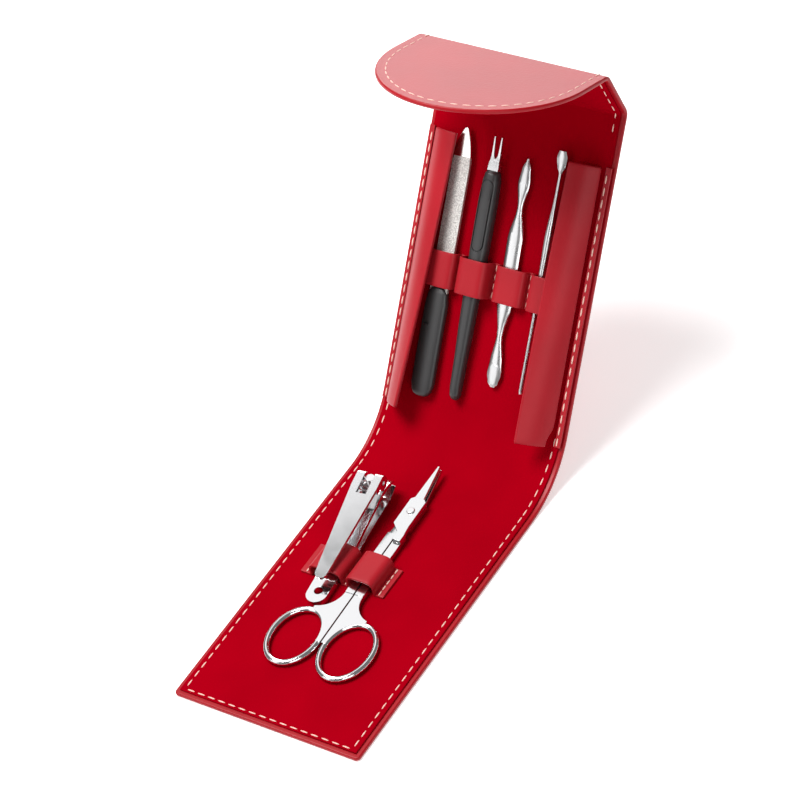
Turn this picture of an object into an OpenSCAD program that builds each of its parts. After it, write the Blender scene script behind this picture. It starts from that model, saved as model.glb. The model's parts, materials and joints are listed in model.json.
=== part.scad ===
// Manicure set case, open and standing on its front panel, with seven tools in it.
// Millimetres. X runs across the case, Y from the front edge to the fold, Z is up.
// The origin is the centre of the front panel's underside.

/* [Case] */
// Width of the case
case_width = 70; // [66:1:90]
// Length of the front panel, which lies flat
front_length = 104; // [96:1:130]
// Length of the back panel above the fold
back_length = 104.8; // [98:0.1:130]
// Thickness of a finished panel
panel_thickness = 2.2; // [1.8:0.1:3]
// Thickness of the outer leather
cover_thickness = 0.7; // [0.4:0.1:1]
// Thickness of the lining
lining_thickness = 0.6; // [0.4:0.1:0.8]
// Corner radius of the front panel
corner_radius = 1.5; // [1:0.5:8]
// Step from the outer leather in to the edge of the lining
edge_step = 0.8; // [0.3:0.1:1.5]
// Distance from the edges in to the stiffening boards
board_inset = 5; // [3:0.5:8]

/* [Folds] */
// Outer radius of the bottom spine as it stands open
spine_radius = 36.3; // [30:0.1:45]
// Slope of the back panel as it stands open
back_angle = 50.5; // [30:0.5:70]
// Stretch of the bottom spine that the back panel keeps stiff
guard_wrap = 5; // [3:0.5:6]
// Length of the top spine between its two folds
top_spine_length = 19.3; // [16:0.1:26]
// Turn from the back panel to the top spine
top_turn = 56; // [0:0.5:88]
// Turn from the top spine to the flap
flap_turn = 52.5; // [0:0.5:90]
// Radial play where one stiff strip folds on the next
fold_play = 0.05; // [0.03:0.01:0.06]

/* [Flap] */
// Length of the flap's straight sides
flap_side = 14.5; // [8:0.5:24]

/* [Guards] */
// Width of a guard at its lower end
guard_width = 12.6; // [9:0.2:14]
// Width of a guard at its top end
guard_width_top = 10.8; // [8:0.2:13]
// Thickness of a guard's folded leather
guard_thickness = 1.4; // [1:0.1:2]
// Top end of the guards, along the back panel
guard_top = 87; // [70:1:95]
// Lift of a guard's free edge at its top end, in degrees
guard_lift_top = 21; // [15:1:40]
// Lift of a guard's free edge at its lower end, in degrees
guard_lift_low = 48; // [30:1:55]
// Distance of a guard's fold from the side edge of the case
guard_fold_inset = 3.8; // [3.5:0.1:6]
// Thickness of the sewn edge of a guard
hem_thickness = 0.7; // [0.5:0.1:1]

/* [Straps] */
// Thickness of the straps
strap_thickness = 0.8; // [0.5:0.1:1.2]
// Length of the back strap along the panel
tool_strap_length = 11.8; // [8:0.2:16]
// Lower edge of the back strap, along the back panel
tool_strap_start = 36.6; // [34:0.1:40]
// Half the length of the back strap across the panel
tool_strap_reach = 28.5; // [26:0.5:29]
// Length of the front strap along the panel
loop_strap_length = 12.2; // [8:0.2:16]
// Lower edge of the front strap, from the front edge
loop_strap_start = 57.5; // [56:0.1:62]

/* [File] */
// Width of the nail file's blade
file_width = 6.8; // [5:0.1:8]
// Thickness of the nail file's blade
file_thickness = 1.2; // [0.8:0.1:1.6]
// Width of the nail file's handle
file_handle_width = 8.4; // [8:0.1:9]
// Height of the nail file's handle
file_handle_height = 3.4; // [3:0.1:3.8]
// Length of the nail file's handle
file_handle_length = 36.3; // [30:0.1:40]
// Top end of the nail file, along the back panel
file_tip = 89; // [80:0.5:90]

/* [Trimmer] */
// Largest width of the trimmer's handle
trimmer_width = 6.4; // [5:0.1:7]
// Largest height of the trimmer's handle
trimmer_height = 5; // [4:0.1:5.4]
// Top end of the trimmer's handle, along the back panel
trimmer_handle_top = 77.5; // [70:0.5:80]
// Length of the trimmer's two points beyond the head
fork_length = 6.5; // [4:0.5:8]
// Width across the trimmer's two points
fork_width = 3.2; // [2.4:0.1:4]

/* [Pusher] */
// Lower end of the cuticle pusher, along the back panel
pusher_start = 9.2; // [4:0.1:12]
// Length of the cuticle pusher
pusher_length = 74.6; // [66:0.2:80]
// Thickness of the cuticle pusher's middle
pusher_thickness = 2.2; // [1.6:0.1:3]
// Width of the cuticle pusher's middle
pusher_width = 5.6; // [4.4:0.1:6.4]
// Width of the cuticle pusher's pointed end
pusher_point_width = 4.4; // [3:0.1:5.4]
// Width of the cuticle pusher's round end
pusher_spoon_width = 5.2; // [3:0.1:6]

/* [Ear pick] */
// Lower end of the ear pick, along the back panel
pick_start = 9.6; // [4:0.1:12]
// Length of the ear pick
pick_length = 79.4; // [70:0.2:84]
// Width of the ear pick's middle
pick_width = 2.8; // [2:0.1:3.4]
// Width of the ear pick's scoop
pick_scoop_width = 3.8; // [3:0.1:4.4]
// Width of the ear pick's stem
pick_stem = 1.3; // [1:0.1:1.8]

/* [Clipper] */
// Length of the clipper's jaws
clipper_length = 52; // [46:0.5:53]
// Width of the clipper's cutting edges
clipper_width = 9.2; // [8:0.1:10]
// Width of the clipper's tail
clipper_tail_width = 7.2; // [6:0.1:8]
// Thickness of the clipper's jaws
jaw_thickness = 1.3; // [1:0.1:1.5]
// Height of the upper jaw's front above the lining
jaw_height = 8.3; // [7:0.1:8.6]
// Gap between the two cutting edges
jaw_gap = 2; // [1:0.1:2.4]
// Height of the cross pin above the lining
pin_height = 11; // [10.8:0.1:11.6]
// Diameter of the clipper's post
post_diameter = 3; // [2.4:0.1:3.2]
// Diameter of the cross pin
pin_diameter = 1.5; // [1.2:0.1:1.8]
// Length of the lever behind its pin
lever_length = 39.4; // [34:0.2:40]
// Thickness of the lever
lever_thickness = 1.1; // [0.8:0.1:1.3]
// Slope of the lever as it lies folded
lever_slope = 9.5; // [8:0.1:10]
// Width of the lever's narrow end
lever_tail_width = 4.2; // [3:0.1:6]
// Diameter of the hole in the clipper's tail
tail_hole = 3; // [2:0.1:4]

/* [Scissors] */
// Thickness of each half of the scissors at the screw
blade_plate = 1.7; // [1.2:0.1:1.8]
// Length of the blades beyond the screw
blade_length = 19.4; // [16:0.2:21]
// Upward slant of the blades, in degrees
blade_slant = 7; // [5:0.5:8]
// Width of each half of the scissors at the screw
plate_width = 5.6; // [4.8:0.1:7]
// Width of each blade at its root
blade_width = 3.6; // [2.4:0.1:4.4]
// Diameter of the scissors' screw
screw_diameter = 2.2; // [1.6:0.1:2.6]
// Width of each shank
shank_width = 3; // [2:0.1:3.4]
// Height of each shank
shank_height = 2.3; // [2:0.1:2.6]
// Distance from the screw to the middle of the finger rings
ring_distance = 57.2; // [54:0.2:62]
// Width over a finger ring
ring_width = 18.8; // [16:0.2:20]
// Length over a finger ring
ring_length = 24.6; // [22:0.2:27]
// Diameter of a finger ring's wire
ring_wire = 2.1; // [1.6:0.1:2.6]

/* [Hidden] */
$fn = 48;
eps = 0.01;
// Gap between the tools and what they lie on
tool_gap = 0.2;
// Running gap of a pin or a screw in its bore
pin_play = 0.05;
// Gap between pieces that pass each other
pass_gap = 0.3;

// Step between a nose and the faces of its strip
nose_step = 0.03;

fold_y = front_length / 2;
mid_radius = spine_radius - panel_thickness / 2;
inner_radius = spine_radius - panel_thickness;
wrap_angle = guard_wrap / spine_radius * 180 / PI;
// Where the four folds of the bottom spine stand on its curve
fold_angles = (back_angle - wrap_angle) * [0, 0.291, 0.6455, 1];
// Room for each of these folds to turn to closed, and back to flat, in degrees
fold_in = [15, 56, 22, 51];
fold_out = [8, 24, 11, 22];

guard_fold_x = case_width / 2 - guard_fold_inset;

// Places of the tools across the case
file_x = -0.2743 * case_width;
trimmer_x = -0.0929 * case_width;
pusher_x = 0.0829 * case_width;
pick_x = 0.2429 * case_width;
clipper_x = -0.1643 * case_width;
scissors_x = -0.0214 * case_width;
// Tail of the clipper and screw of the scissors, from the front edge, and how far each is turned
clipper_tail = 46.2;
clipper_turn = 5.6;
scissors_pivot = 90.6;
scissors_turn = 1.6;

// Places of the pieces

// Local Y runs up the back panel, local Z is its inner side, Z = 0 is its outer face
module on_back()
  translate([0, fold_y + spine_radius * sin(back_angle), spine_radius * (1 - cos(back_angle))])
    rotate([back_angle, 0, 0]) children();

// Y runs along the top spine from the fold, Z = 0 is the middle of its thickness
module on_top_spine()
  on_back() translate([0, back_length, panel_thickness / 2]) rotate([top_turn, 0, 0]) children();

module on_flap()
  on_top_spine() translate([0, top_spine_length, 0]) rotate([flap_turn, 0, 0]) children();

// A point of the middle surface of a curve that touches the origin, Y along it and Z to its inner side
module arc_point(angle)
  translate([0, mid_radius * sin(angle), spine_radius - mid_radius * cos(angle)]) rotate([angle, 0, 0]) children();

module on_arc(angle) translate([0, fold_y, 0]) arc_point(angle) children();

// The lining of the front panel, with Y from the front edge
module on_front_lining() translate([0, -front_length / 2, panel_thickness]) children();

// The lining of the back panel, with Y from the bottom spine
module on_back_lining() on_back() translate([0, 0, panel_thickness]) children();

module on_clipper()
  on_front_lining() translate([clipper_x, clipper_tail, 0]) rotate([0, 0, clipper_turn]) children();

module on_scissors()
  on_front_lining() translate([scissors_x, scissors_pivot, 0]) rotate([0, 0, scissors_turn]) children();

// Forms that several pieces share

module rod_x(r, w) translate([-w / 2, 0, 0]) rotate([0, 90, 0]) cylinder(r = r, h = w);
module rod_y(r, l) rotate([-90, 0, 0]) cylinder(r = r, h = l);

// A YZ outline stretched across X
module across(w) translate([-w / 2, 0, 0]) rotate([90, 0, 90]) linear_extrude(w) children();

// A plate with its two front corners rounded
module front_plate(w, y0, y1, r, z0, z1) translate([0, 0, z0]) {
  translate([-w / 2, y0 + r, 0]) cube([w, y1 - y0 - r, z1 - z0]);
  translate([-w / 2 + r, y0, 0]) cube([w - 2 * r, r + eps, z1 - z0]);
  for (side = [-1, 1]) translate([side * (w / 2 - r), y0 + r, 0]) cylinder(r = r, h = z1 - z0);
}

module plate(w, y0, y1, z0, z1) translate([-w / 2, y0, z0]) cube([w, y1 - y0, z1 - z0]);

// A tongue with a half-round end
module tongue(w, y0, y1, z0, z1) {
  plate(w, y0, y1, z0, z1);
  translate([0, y1, z0]) intersection() {
    cylinder(r = w / 2, h = z1 - z0, $fn = 96);
    translate([-w, 0, -1]) cube([2 * w, w, z1 - z0 + 2]);
  }
}

// The round edge that the next strip folds on
module nose() rod_x(panel_thickness / 2 - nose_step, case_width);

// The hollow that takes a nose, opened for a fold of turn_in and turn_out degrees
module seat(turn_in, turn_out) {
  r = panel_thickness / 2 + fold_play + nose_step;
  reach = 2 * panel_thickness;
  w = case_width + 2;
  rod_x(r - nose_step, w);
  across(w) polygon([[0, 0], r * [sin(turn_in), cos(turn_in)],
    r * [sin(turn_in), cos(turn_in)] + reach * [-cos(turn_in), sin(turn_in)],
    [-reach, reach], [-reach, 0]]);
  across(w) polygon([[0, 0], [-reach, 0], [-reach, -reach],
    r * [sin(turn_out), -cos(turn_out)] + reach * [-cos(turn_out), -sin(turn_out)],
    r * [sin(turn_out), -cos(turn_out)]]);
}

// A stretch of a curve that touches the origin, between two angles
module arc_wedge(a0, a1, r0, r1, w) translate([0, 0, spine_radius]) intersection() {
  difference() {
    rod_x(r1, w, $fn = 180);
    rod_x(r0, w + 2, $fn = 180);
  }
  across(w + 1) polygon([[0, 0], 2 * spine_radius * [sin(a0), -cos(a0)], 2 * spine_radius * [sin(a1), -cos(a1)]]);
}

module strip(n) difference() {
  union() {
    translate([0, fold_y, 0]) arc_wedge(fold_angles[n], fold_angles[n + 1], inner_radius, spine_radius, case_width);
    on_arc(fold_angles[n + 1]) nose();
  }
  on_arc(fold_angles[n]) seat(fold_in[n], fold_out[n]);
}

// Value of a column of a station list at place y, eased between stations
function eased(t) = t * t * (3 - 2 * t);
function at(list, y, k, n = 0) =
  n >= len(list) - 2 || y <= list[n + 1][0]
    ? let (a = list[n], b = list[n + 1], t = min(1, max(0, (y - a[0]) / (b[0] - a[0]))))
      a[k] + (b[k] - a[k]) * eased(t)
    : at(list, y, k, n + 1);
function spow(v, e) = sign(v) * pow(abs(v), e);

// Stations whose places are shares of a length
function spread(start, length, list) = [for (s = list) [start + length * s[0], s[1], s[2], s[3], s[4]]];

// A bar along Y through stations of [y, middle x, half width, middle z, half height].
// roundness 1 gives an oval section, and less a boxier one.
module bar(list, steps = 4, sides = 12, roundness = 1) {
  ys = concat([for (n = [0:len(list) - 2]) each
    [for (i = [0:steps - 1]) list[n][0] + (list[n + 1][0] - list[n][0]) * i / steps]], [list[len(list) - 1][0]]);
  points = [for (y = ys) for (i = [0:sides - 1]) let (a = 360 * (i + 0.5) / sides)
    [at(list, y, 1) + at(list, y, 2) * spow(cos(a), roundness), y,
     at(list, y, 3) + at(list, y, 4) * spow(sin(a), roundness)]];
  last = len(ys) - 1;
  faces = concat(
    [[for (i = [0:sides - 1]) i]],
    [[for (i = [sides - 1:-1:0]) last * sides + i]],
    [for (k = [0:last - 1]) for (i = [0:sides - 1]) each let (j = (i + 1) % sides)
      [[k * sides + i, (k + 1) * sides + i, (k + 1) * sides + j],
       [k * sides + i, (k + 1) * sides + j, k * sides + j]]]);
  polyhedron(points, faces);
}

// Outline of one arch of a strap over the stretch x0 to x1, height h inside
function arch(x0, x1, h, boxy, grow) = [for (i = [0:20]) let (u = cos(180 - 9 * i))
  [(x0 + x1) / 2 + ((x1 - x0) / 2 + grow) * spow(u, 2 / boxy), (h + grow) * spow(sin(180 - 9 * i), 2 / boxy)]];

// A strap with sewn rows: list of arches [x0, x1, inner height], tabs out to the two ends
module strap(x0, x1, arches, length, boxy = 4) rotate([90, 0, 180]) mirror([1, 0, 0]) linear_extrude(length)
  polygon(concat(
    [[x0, strap_thickness]],
    [for (a = arches) each [for (p = arch(a[0], a[1], a[2], boxy, strap_thickness)) [p[0], max(p[1], strap_thickness)]]],
    [[x1, strap_thickness], [x1, 0]],
    [for (n = [len(arches) - 1:-1:0]) each [for (i = [20:-1:0]) arch(arches[n][0], arches[n][1], arches[n][2], boxy, 0)[i]]],
    [[x0, 0]]));

// The case

board_z0 = cover_thickness;
board_z1 = panel_thickness - lining_thickness;

module front_cover() color("firebrick") difference() {
  union() {
    front_plate(case_width, -fold_y, fold_y, corner_radius, 0, board_z1);
    plate(case_width, fold_y - 2, fold_y, 0, panel_thickness);
    on_arc(0) nose();
  }
  plate(case_width - 2 * board_inset, -fold_y + board_inset, fold_y - board_inset, board_z0, board_z1 + 1);
}

module front_board() color("tan")
  plate(case_width - 2 * board_inset, -fold_y + board_inset, fold_y - board_inset, board_z0, board_z1);

module front_lining() color("crimson")
  front_plate(case_width - 2 * edge_step, -fold_y + edge_step, fold_y - 2, corner_radius, board_z1, panel_thickness);

// Middle of the clipper and of the scissors where the front strap crosses them
loop_y = loop_strap_start + loop_strap_length / 2;
clipper_mid = clipper_x - (loop_y - clipper_tail) * sin(clipper_turn);
scissors_mid = scissors_x + (scissors_pivot - loop_y) * sin(scissors_turn);

module loop_strap() color("indianred") on_front_lining() translate([0, loop_strap_start, 0]) {
  clipper_arch = [clipper_mid - clipper_width / 2 - 1.5, clipper_mid + clipper_width / 2 + 0.5, 2 * jaw_thickness + 2.1];
  scissors_arch = [scissors_mid - shank_width - 1.25, scissors_mid + shank_width + 2.05, upper_z + blade_plate + 1.1];
  strap(clipper_arch[0] - 4.5, scissors_arch[1] + 3.6, [clipper_arch, scissors_arch], loop_strap_length, 5);
}

module spine_strip_1() color("brown") strip(0);
module spine_strip_2() color("firebrick") strip(1);
module spine_strip_3() color("brown") strip(2);

module back_cover() color("firebrick") on_back() difference() {
  union() {
    arc_wedge(-wrap_angle, 0, inner_radius, spine_radius, case_width);
    plate(case_width, 0, back_length, 0, board_z1);
    plate(case_width, back_length - 2, back_length, 0, panel_thickness);
    translate([0, back_length, panel_thickness / 2]) nose();
  }
  arc_point(-wrap_angle) seat(fold_in[3], fold_out[3]);
  plate(case_width - 2 * board_inset, board_inset, back_length - board_inset, board_z0, board_z1 + 1);
}

module back_board() color("tan") on_back()
  plate(case_width - 2 * board_inset, board_inset, back_length - board_inset, board_z0, board_z1);

module back_lining() color("crimson") on_back()
  plate(case_width - 2 * edge_step, 0, back_length - 2, board_z1, panel_thickness);

module tool_strap() color("indianred") on_back_lining() translate([0, tool_strap_start, 0])
  strap(-tool_strap_reach, tool_strap_reach, [
    [file_x - file_handle_width / 2 - 1.4, file_x + file_handle_width / 2 + 0.35, file_handle_height + tool_gap + pass_gap],
    [trimmer_x - trimmer_width / 2 - 1.9, trimmer_x + trimmer_width / 2 + 1.6, trimmer_height + tool_gap + pass_gap],
    [pusher_x - pusher_width / 2 - 1.5, pusher_x + pusher_width / 2 + 2.8, pusher_thickness + tool_gap + 2 * pass_gap],
    [pick_x - pick_width / 2 - 1, pick_x + pick_width / 2 + 3.1, pick_width + tool_gap + pass_gap]], tool_strap_length, 5);

module guard_hem(side) {
  x0 = guard_fold_x + guard_thickness / 2 + 0.4;
  w = case_width / 2 - edge_step - x0;
  on_back() translate([side * (x0 + w / 2), 0, 0]) {
    arc_wedge(1 - wrap_angle, 0, inner_radius - hem_thickness, inner_radius, w);
    plate(w, 0, guard_top, panel_thickness, panel_thickness + hem_thickness);
  }
}

module left_guard_hem() color("brown") guard_hem(-1);
module right_guard_hem() color("brown") guard_hem(1);

// Height of the guard's fold above the lining
fold_height = guard_thickness / 2 + 0.3;

// A guard as a twisted leaf with a rolled fold and a rounded free edge. u runs from the fold to the free edge.
function guard_lift(y) = guard_lift_low + (guard_lift_top - guard_lift_low) * (y + guard_wrap) / (guard_top + guard_wrap);
function guard_line(u, y) = let (a = guard_lift(y), crown = 1.1 * sin(180 * u),
    w = guard_width + (guard_width_top - guard_width) * (y + guard_wrap) / (guard_top + guard_wrap))
  [-u * w * cos(a) + crown * sin(a), fold_height + u * w * sin(a) + crown * cos(a)];

module guard(side) on_back_lining() scale([side, 1, 1]) translate([guard_fold_x, 0, 0]) {
  across_steps = 8;
  along_steps = 12;
  rings = [for (k = [0:along_steps]) let (y = -guard_wrap + 0.4 + (guard_top + guard_wrap - 0.4) * pow(k / along_steps, 1.3),
      u0 = 0.03 + 0.15 * eased(min(1, max(0, (2.5 - y) / 5))))
    let (line = [for (i = [0:across_steps]) let (u = u0 + (1 - u0) * i / across_steps)
        let (p = guard_line(u, y), q = guard_line(u + 0.01, y), d = (q - p) / norm(q - p)) [p, [-d[1], d[0]], d]])
    concat(
      [for (i = [0:across_steps]) let (l = line[i]) [l[0][0] + guard_thickness / 2 * l[1][0], y, l[0][1] + guard_thickness / 2 * l[1][1]]],
      [let (l = line[across_steps]) [l[0][0] + guard_thickness * 0.45 * l[2][0], y, l[0][1] + guard_thickness * 0.45 * l[2][1]]],
      [for (i = [across_steps:-1:0]) let (l = line[i]) [l[0][0] - guard_thickness / 2 * l[1][0], y, l[0][1] - guard_thickness / 2 * l[1][1]]])];
  n = len(rings[0]);
  last = len(rings) - 1;
  polyhedron([for (r = rings) each r], concat(
    [[for (i = [0:n - 1]) i]],
    [[for (i = [n - 1:-1:0]) last * n + i]],
    [for (k = [0:last - 1]) for (i = [0:n - 1]) each let (j = (i + 1) % n)
      [[k * n + i, (k + 1) * n + i, (k + 1) * n + j], [k * n + i, (k + 1) * n + j, k * n + j]]]));
  translate([0, 1.5, fold_height]) rod_y(guard_thickness / 2, guard_top - 1.5);
}

module left_guard() color("indianred") guard(-1);
module right_guard() color("indianred") guard(1);

module top_spine() color("firebrick") on_top_spine() difference() {
  union() {
    plate(case_width, 0, top_spine_length, -panel_thickness / 2, panel_thickness / 2);
    translate([0, top_spine_length, 0]) nose();
  }
  seat(92, 2);
}

module flap_cover() color("firebrick") on_flap() difference() {
  union() {
    tongue(case_width, 0, flap_side, -panel_thickness / 2, panel_thickness / 2 - lining_thickness);
    plate(case_width, 0, 3, -panel_thickness / 2, panel_thickness / 2);
  }
  seat(92, 2);
  tongue(case_width - 2 * board_inset, board_inset, flap_side, cover_thickness - panel_thickness / 2, panel_thickness);
}

module flap_board() color("tan") on_flap()
  tongue(case_width - 2 * board_inset, board_inset, flap_side, cover_thickness - panel_thickness / 2,
    panel_thickness / 2 - lining_thickness);

module flap_lining() color("crimson") on_flap()
  tongue(case_width - 2 * edge_step, 3, flap_side, panel_thickness / 2 - lining_thickness, panel_thickness / 2);

// The four tools on the back panel

file_z = tool_gap + file_handle_height / 2;

module file_handle() color("dimgray") on_back_lining() translate([file_x, 0, 0]) difference() {
  bar([[0, 0, file_handle_width * 0.2, file_z, file_handle_height * 0.26],
    [0.5, 0, file_handle_width * 0.32, file_z, file_handle_height * 0.38],
    [1.8, 0, file_handle_width * 0.43, file_z, file_handle_height * 0.46],
    [4.5, 0, file_handle_width / 2, file_z, file_handle_height / 2],
    [file_handle_length - 5.5, 0, file_handle_width * 0.49, file_z, file_handle_height / 2],
    [file_handle_length - 2, 0, file_handle_width * 0.43, file_z, file_handle_height * 0.46],
    [file_handle_length - 0.5, 0, file_handle_width * 0.32, file_z, file_handle_height * 0.38],
    [file_handle_length, 0, file_handle_width * 0.22, file_z, file_handle_height * 0.3]], 3, 20, 0.62);
  translate([-file_handle_width / 2 - 1, file_handle_length - 12.6, tool_gap + file_handle_height - 0.6]) cube([4.4, 0.9, 1]);
  translate([-file_width / 2, file_handle_length - 9, file_z - file_thickness / 2]) cube([file_width, 12, file_thickness]);
}

module file_blade() color("silver") on_back_lining() translate([file_x, 0, file_z - file_thickness / 2])
  linear_extrude(file_thickness) polygon(concat(
    [[-file_width / 2, file_handle_length - 9], [file_width / 2, file_handle_length - 9]],
    [for (i = [0:10]) let (t = i / 10) [file_width / 2 * (1 - 0.82 * pow(t, 2.2)), file_tip - 15 + 15 * t]],
    [for (i = [10:-1:0]) let (t = i / 10) [-file_width / 2 * (1 - 0.82 * pow(t, 3.2)), file_tip - 15 + 15 * t]]));

trimmer_z = tool_gap + trimmer_height / 2;
// Shaft of the trimmer's head inside the handle
shaft_diameter = 1.6;
shaft_length = trimmer_handle_top * 0.22;

module trimmer_handle() color("dimgray") on_back_lining() translate([trimmer_x, 0, 0]) difference() {
  bar(spread(0, trimmer_handle_top, [[0.023, 0.2, trimmer_width * 0.1, trimmer_z - 0.8, trimmer_height * 0.13],
    [0.03, 0.2, trimmer_width * 0.2, trimmer_z - 0.7, trimmer_height * 0.26],
    [0.045, 0.2, trimmer_width * 0.27, trimmer_z - 0.6, trimmer_height * 0.35],
    [0.08, 0.15, trimmer_width * 0.3, trimmer_z - 0.5, trimmer_height * 0.4],
    [0.465, 0.1, trimmer_width * 0.42, trimmer_z - 0.1, trimmer_height * 0.46],
    [0.671, 0, trimmer_width * 0.49, trimmer_z, trimmer_height / 2],
    [0.877, 0, trimmer_width / 2, trimmer_z, trimmer_height / 2],
    [0.955, 0, trimmer_width * 0.46, trimmer_z, trimmer_height * 0.46],
    [0.988, 0, trimmer_width * 0.4, trimmer_z, trimmer_height * 0.4],
    [1, 0, trimmer_width * 0.32, trimmer_z, trimmer_height * 0.3]]), 3, 20, 0.7);
  translate([0, 0, tool_gap + trimmer_height * 0.86]) difference() {
    slot_prism(trimmer_width * 0.7, trimmer_handle_top * 0.66, trimmer_handle_top * 0.965, 1);
    slot_prism(trimmer_width * 0.7 - 0.8, trimmer_handle_top * 0.66 + 0.4, trimmer_handle_top * 0.965 - 0.4, 1);
  }
  translate([0, trimmer_handle_top - shaft_length, trimmer_z]) rod_y(shaft_diameter / 2, shaft_length + 1);
}

// A slot-shaped prism along Y
module slot_prism(w, y0, y1, h) {
  plate(w, y0 + w / 2, y1 - w / 2, 0, h);
  for (y = [y0 + w / 2, y1 - w / 2]) translate([0, y, 0]) cylinder(d = w, h = h);
}

module trimmer_fork() color("silver") on_back_lining() translate([trimmer_x, 0, trimmer_z]) {
  head = trimmer_handle_top + 0.1;
  fork_side = [[2, head], [1.9, head + 2.2], [fork_width / 2 + 0.1, head + 3.4], [fork_width / 2, head + 5],
    [fork_width / 2 - 0.1, trimmer_handle_top + 4.6 + fork_length], [fork_width / 2 - 0.5, trimmer_handle_top + 4.6 + fork_length],
    [fork_width / 2 - 0.85, head + 5], [0, head + 3.7]];
  tip = trimmer_handle_top + 4.6 + fork_length;
  translate([0, trimmer_handle_top - shaft_length, 0]) rod_y(shaft_diameter / 2, shaft_length + 0.6);
  intersection() {
    across(8) polygon([[head, -1.1], [head + 2, -0.9], [head + 4.5, -0.5], [tip, 0.1], [tip, 0.7], [head + 4.5, 0.5],
      [head + 2, 0.9], [head, 1.1]]);
    translate([0, 0, -3]) linear_extrude(6) polygon(concat(
      [for (p = fork_side) p], [for (n = [len(fork_side) - 2:-1:0]) [-fork_side[n][0], fork_side[n][1]]]));
  }
}

pusher_z = tool_gap + pusher_thickness / 2;

module cuticle_pusher() color("silver") on_back_lining() translate([pusher_x, 0, 0]) rotate([0, 0, 0.8]) difference() {
  bar(spread(pusher_start, pusher_length, [[0, 0.55, pusher_spoon_width * 0.15, pusher_z, pusher_thickness * 0.13],
    [0.016, 0.5, pusher_spoon_width * 0.36, pusher_z, pusher_thickness * 0.2],
    [0.058, 0.5, pusher_spoon_width / 2, pusher_z, pusher_thickness * 0.27],
    [0.118, 0.45, pusher_spoon_width * 0.42, pusher_z, pusher_thickness * 0.36],
    [0.225, 0.3, pusher_width * 0.19, pusher_z, pusher_thickness * 0.39],
    [0.373, 0.2, pusher_width / 2, pusher_z, pusher_thickness / 2],
    [0.654, 0, pusher_width / 2, pusher_z, pusher_thickness / 2],
    [0.788, -0.1, pusher_width * 0.18, pusher_z, pusher_thickness * 0.36],
    [0.895, -0.2, pusher_point_width / 2, pusher_z, pusher_thickness * 0.32],
    [0.956, -0.2, pusher_point_width * 0.36, pusher_z, pusher_thickness * 0.23],
    [1, -0.2, pusher_point_width * 0.08, pusher_z, pusher_thickness * 0.11]]), 4, 12, 0.8);
  translate([-pusher_width * 0.18, 0, tool_gap + pusher_thickness - 0.3])
    slot_prism(0.7, pusher_start + pusher_length * 0.48, pusher_start + pusher_length * 0.68, 1);
  translate([0.5, pusher_start + pusher_length * 0.085, pusher_z + pusher_thickness * 0.27 - 0.15]) crescent(pusher_spoon_width * 0.3);
  translate([-0.2, pusher_start + pusher_length * 0.885, pusher_z + pusher_thickness * 0.32 - 0.15]) crescent(pusher_point_width * 0.3);
}

// A crescent-shaped prism, open towards -Y
module crescent(r) difference() {
  cylinder(r = r, h = 1);
  translate([0, -r * 0.45, -1]) cylinder(r = r, h = 3);
}

pick_z = tool_gap + pick_width / 2;

module ear_pick() color("silver") on_back_lining() translate([pick_x, 0, 0])
  bar(spread(pick_start, pick_length, [[0, 0, pick_stem * 0.3, pick_z, pick_stem * 0.3],
    [0.01, 0, pick_stem / 2, pick_z, pick_stem / 2],
    [0.358, 0, pick_stem / 2, pick_z, pick_stem / 2],
    [0.509, 0, pick_width * 0.42, pick_z, pick_width * 0.42],
    [0.647, 0, pick_width / 2, pick_z, pick_width / 2],
    [0.824, 0, pick_stem * 0.42, pick_z, pick_stem * 0.42],
    [0.906, 0, pick_stem * 0.4, pick_z, pick_stem * 0.4],
    [0.937, 0, pick_scoop_width * 0.42, pick_z + 0.2, pick_stem * 0.38],
    [0.975, 0, pick_scoop_width / 2, pick_z + 0.6, pick_stem * 0.35],
    [1, 0, pick_scoop_width * 0.34, pick_z + 0.9, pick_stem * 0.27]]), 4, 12, 1);

// The nail clipper

// Places along the clipper from its tail
post_y = clipper_length - 6;
flex_y = clipper_length * 0.19;
bend_low = clipper_length * 0.5;
bend_high = clipper_length * 0.73;
bend_up = clipper_length * 0.35;
lip_y = clipper_length - 4.4;
jaw_low = tool_gap + 1;
// Room under the upper jaw for the squeeze, at its tail end and at its bend
tail_rise = 0.05;
bend_rise = tail_rise + 0.048 * (bend_up - flex_y);

// Plan of a jaw, with a rounded tail and a slightly bowed cutting edge
module jaw_plan(y0) intersection() {
  union() {
    translate([0, clipper_tail_width / 2]) circle(d = clipper_tail_width);
    polygon([[-clipper_tail_width / 2, clipper_tail_width / 2], [clipper_tail_width / 2, clipper_tail_width / 2],
      [clipper_width / 2, post_y - 6], [clipper_width / 2, clipper_length + 2], [-clipper_width / 2, clipper_length + 2],
      [-clipper_width / 2, post_y - 6]]);
  }
  union() {
    translate([0, clipper_length - 24]) circle(r = 24, $fn = 120);
    translate([-clipper_width, -1]) square([2 * clipper_width, clipper_length - 23]);
  }
  translate([-clipper_width, y0]) square([2 * clipper_width, 2 * clipper_length]);
}

module jaw_low_profile() polygon([[-1, tool_gap], [bend_low, tool_gap], [bend_high, jaw_low], [lip_y, jaw_low],
  [clipper_length + 0.3, jaw_height - jaw_thickness - 1 - jaw_gap], [clipper_length - 0.6, jaw_height - jaw_thickness - 1 - jaw_gap],
  [lip_y - 0.4, jaw_low + jaw_thickness], [bend_high, jaw_low + jaw_thickness], [bend_low, tool_gap + jaw_thickness],
  [-1, tool_gap + jaw_thickness]]);

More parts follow.
